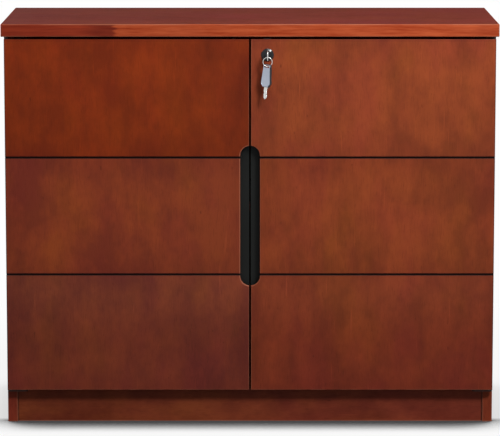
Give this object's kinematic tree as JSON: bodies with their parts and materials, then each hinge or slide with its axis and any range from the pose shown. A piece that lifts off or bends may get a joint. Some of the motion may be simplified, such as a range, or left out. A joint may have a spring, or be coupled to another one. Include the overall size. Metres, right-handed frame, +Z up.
{
  "type": "printer cabinet",
  "caption": "Low two-door office cabinet with a flat top for a printer, a shelf inside, a split recessed handle, a key lock with hanging keys and a recessed plinth.",
  "frame": {"origin": "on the floor, below the middle of the cabinet", "axes": "+X to the right of someone facing the doors, +Y from the doors to the back, +Z up"},
  "size_m": [0.98, 0.4326, 0.8],
  "materials": {
    "veneer": "satin lacquered red-brown veneer",
    "dowel_wood": "plain beech",
    "black_plastic": "fine satin",
    "nylon": "matte",
    "steel": "nickel plated",
    "black_steel": "black lacquer",
    "grey_plate": "bare satin"
  },
  "bodies": {
    "carcass": {"top_panel": "veneer", "left_side_panel": "veneer", "right_side_panel": "veneer", "bottom_panel": "veneer", "back_panel": "veneer", "shelf": "veneer", "plinth_front": "veneer", "plinth_rear": "veneer", "plinth_brace": "veneer", "shelf_pins": "steel", "carcass_dowels": "dowel_wood", "cam_fasteners": "steel", "cam_bolts": "steel", "carcass_screws": "steel", "left_top_pivot": "steel", "right_top_pivot": "steel", "left_bottom_pivot": "black_steel", "right_bottom_pivot": "black_steel", "pivot_washers": "nylon", "lock_strike": "steel", "bolt_strike": "steel"},
    "left_door": {"left_door": "veneer", "left_handle_insert": "black_plastic", "left_top_leaf": "steel", "left_bottom_leaf": "steel", "left_bolt_guide": "black_steel", "left_door_screws": "steel", "left_bumpers": "nylon"},
    "left_bolt": {"left_bolt": "steel"},
    "right_door": {"right_door": "veneer", "right_handle_insert": "black_plastic", "right_top_leaf": "steel", "right_bottom_leaf": "steel", "lock_bezel": "black_plastic", "lock_case": "black_steel", "right_door_screws": "steel", "right_bumpers": "nylon"},
    "lock_plug": {"lock_plug": "steel", "door_key": "steel"},
    "lock_bolt": {"lock_bolt": "steel"},
    "key_ring": {"key_ring": "steel"},
    "spare_key": {"spare_key_head": "black_plastic", "spare_key_plate": "grey_plate", "spare_key_blade": "steel"}
  },
  "joints": [
    {"name": "left_door_swing", "type": "hinge", "parent": "carcass", "child": "left_door", "pos_m": [-0.4785, -0.1885, 0.42], "axis": [0, 0, -1], "range_deg": [0, 110]},
    {"name": "right_door_swing", "type": "hinge", "parent": "carcass", "child": "right_door", "pos_m": [0.4785, -0.1885, 0.42], "axis": [0, 0, 1], "range_deg": [0, 110]},
    {"name": "left_bolt_slide", "type": "slide", "parent": "left_door", "child": "left_bolt", "axis": [0, 0, 1], "range_m": [0, 0.01]},
    {"name": "key_turn", "type": "hinge", "parent": "right_door", "child": "lock_plug", "pos_m": [0.0345, -0.19, 0.7395], "axis": [0, -1, 0], "range_deg": [0, 90]},
    {"name": "lock_bolt_slide", "type": "slide", "parent": "right_door", "child": "lock_bolt", "axis": [0, 0, 1], "range_m": [0, 0.0099]},
    {"name": "key_ring_swing", "type": "hinge", "parent": "lock_plug", "child": "key_ring", "pos_m": [0.0345, -0.2196, 0.7366], "axis": [-1, 0, 0], "range_deg": [-8, 45]},
    {"name": "spare_key_slide", "type": "hinge", "parent": "key_ring", "child": "spare_key", "pos_m": [0.0345, -0.2196, 0.7276], "axis": [0, -1, 0], "range_deg": [-100, 100]}
  ],
  "couplings": [
    {"joint": "key_turn", "follows": "lock_bolt_slide", "rad_per_m": 158.66}
  ]
}
